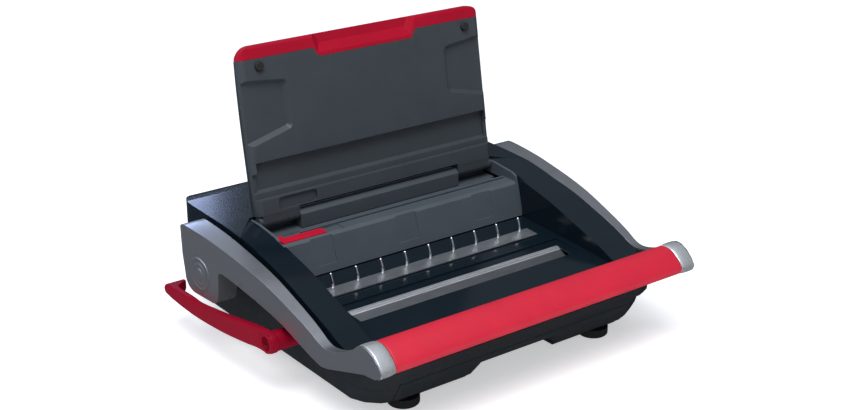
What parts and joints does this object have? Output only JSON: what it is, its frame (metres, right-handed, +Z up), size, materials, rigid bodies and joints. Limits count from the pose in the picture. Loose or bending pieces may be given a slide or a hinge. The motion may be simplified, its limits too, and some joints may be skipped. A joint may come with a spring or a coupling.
{
  "type": "comb binding machine",
  "caption": "Manual comb binding machine: pull-down handle on side arms drives a row punch; side lever opens combs in a well; hinged lid, chip drawer, edge guide.",
  "frame": {"origin": "centre of the machine's box, on the table it stands on", "axes": "+X to the machine's right, along the row of punched holes; +Y to the back; +Z up"},
  "size_m": [0.4165, 0.3666, 0.2821],
  "materials": {
    "casing_black": "fine-grained matt moulded plastic",
    "gloss_black": "piano-gloss moulded plastic",
    "slate_plastic": "fine-grained matt slate plastic",
    "silver_paint": "satin silver paint on moulded plastic",
    "bright_cap": "satin bright metallic finish",
    "red_grip": "soft-touch red coating",
    "red_plastic": "semi-gloss crimson plastic",
    "satin_steel": "satin pressed steel",
    "frame_steel": "zinc-plated steel",
    "bright_wire": "bright plated wire",
    "bronze": "sintered bronze",
    "foot_rubber": "matt rubber"
  },
  "bodies": {
    "base": {"base_pan": "casing_black", "body_shell": "casing_black", "deck": "gloss_black", "document_rest": "satin_steel", "left_cheek": "gloss_black", "right_cheek": "gloss_black", "rear_cover": "gloss_black", "punch_housing": "slate_plastic", "hinge_cover": "slate_plastic", "hinge_rod": "frame_steel", "die_plate": "frame_steel", "guide_plate": "frame_steel", "paper_rest_bar": "frame_steel", "guide_rods": "frame_steel", "left_side_plate": "frame_steel", "right_side_plate": "frame_steel", "front_tie_rod": "frame_steel", "rear_tie_rod": "frame_steel", "shaft_bushes": "bronze", "lever_bushes": "bronze", "frame_screws": "frame_steel", "feet": "foot_rubber", "foot_screws": "frame_steel", "casing_screws": "frame_steel", "tray_runners": "casing_black"},
    "punch": {"punch_bar": "frame_steel", "punch_pins": "frame_steel", "yoke_plates": "frame_steel", "yoke_screws": "frame_steel"},
    "handle": {"drive_shaft": "frame_steel", "eccentrics": "frame_steel", "left_lever": "frame_steel", "right_lever": "frame_steel", "left_arm": "silver_paint", "right_arm": "silver_paint", "left_pivot_cap": "silver_paint", "right_pivot_cap": "silver_paint", "left_end_cap": "bright_cap", "right_end_cap": "bright_cap", "grip": "red_grip", "grip_tube": "frame_steel"},
    "comb_lever": {"comb_lever": "red_plastic", "lever_shaft": "frame_steel", "pinions": "frame_steel"},
    "hook_carriage": {"hook_strip": "satin_steel", "hooks": "bright_wire", "rack_slides": "frame_steel"},
    "lid": {"lid_panel": "slate_plastic", "lid_shell": "gloss_black", "lid_trim": "red_plastic", "lid_buffers": "foot_rubber"},
    "edge_guide": {"edge_guide": "red_plastic"},
    "chip_tray": {"chip_tray": "casing_black"}
  },
  "joints": [
    {"name": "handle_hinge", "type": "hinge", "parent": "base", "child": "handle", "pos_m": [0, 0.0907, 0.0734], "axis": [-1, 0, 0], "range_deg": [0, 60]},
    {"name": "punch_slide", "type": "slide", "parent": "base", "child": "punch", "axis": [0, 1, 0], "range_m": [0, 0.0081]},
    {"name": "comb_lever_hinge", "type": "hinge", "parent": "base", "child": "comb_lever", "pos_m": [0, -0.0377, 0.0535], "axis": [1, 0, 0], "range_deg": [0, 100]},
    {"name": "hook_slide", "type": "slide", "parent": "base", "child": "hook_carriage", "axis": [0, -1, 0], "range_m": [0, 0.0131]},
    {"name": "lid_hinge", "type": "hinge", "parent": "base", "child": "lid", "pos_m": [0, 0.0793, 0.115], "axis": [1, 0, 0], "range_deg": [0, 110]},
    {"name": "edge_guide_slide", "type": "slide", "parent": "base", "child": "edge_guide", "axis": [1, 0, 0], "range_m": [0, 0.019]},
    {"name": "chip_tray_slide", "type": "slide", "parent": "base", "child": "chip_tray", "axis": [0, -1, 0], "range_m": [0, 0.15]}
  ],
  "couplings": [
    {"joint": "punch_slide", "follows": "handle_hinge", "m_per_rad": 0.0076394},
    {"joint": "hook_slide", "follows": "comb_lever_hinge", "m_per_rad": 0.0075}
  ]
}
